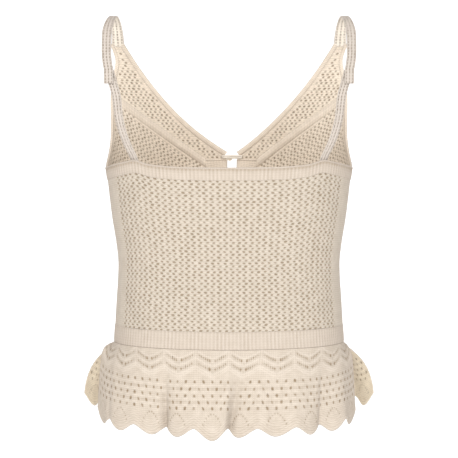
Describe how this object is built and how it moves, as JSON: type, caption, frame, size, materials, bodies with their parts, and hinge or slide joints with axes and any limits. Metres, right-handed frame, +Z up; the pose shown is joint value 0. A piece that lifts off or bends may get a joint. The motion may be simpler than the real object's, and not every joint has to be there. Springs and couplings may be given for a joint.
{
  "type": "knitted camisole top",
  "caption": "Sleeveless knitted openwork top with narrow straps, V neck with a keyhole, waistband and scalloped lace peplum, in its hollow worn shape.",
  "frame": {"origin": "midway between the highest points of the two shoulder pieces, where a wearer or a display figure holds the top up", "axes": "+Z up, the front faces -Y, +X towards the wearer's left"},
  "size_m": [0.3674, 0.2319, 0.5192],
  "materials": {
    "openwork": "matte",
    "plain_knit": "matte",
    "strap_knit": "matte",
    "peplum_lace": "matte",
    "button_shell": "satin"
  },
  "bodies": {
    "root": {"back_panel": "openwork", "front_panel": "openwork", "cup_left": "openwork", "cup_right": "openwork", "yoke_left": "openwork", "yoke_right": "openwork", "back_band": "plain_knit", "keyhole_piece": "plain_knit", "slant_band_left": "plain_knit", "slant_band_right": "plain_knit", "neck_edge_left": "plain_knit", "neck_edge_right": "plain_knit", "armhole_edge_left": "plain_knit", "armhole_edge_right": "plain_knit", "waistband_back": "plain_knit", "waistband_front": "plain_knit", "shoulder_left": "strap_knit", "shoulder_right": "strap_knit", "back_strap_left": "strap_knit", "back_strap_right": "strap_knit", "button_loop": "strap_knit", "peplum_back": "peplum_lace", "peplum_front": "peplum_lace", "button": "button_shell"}
  },
  "joints": []
}
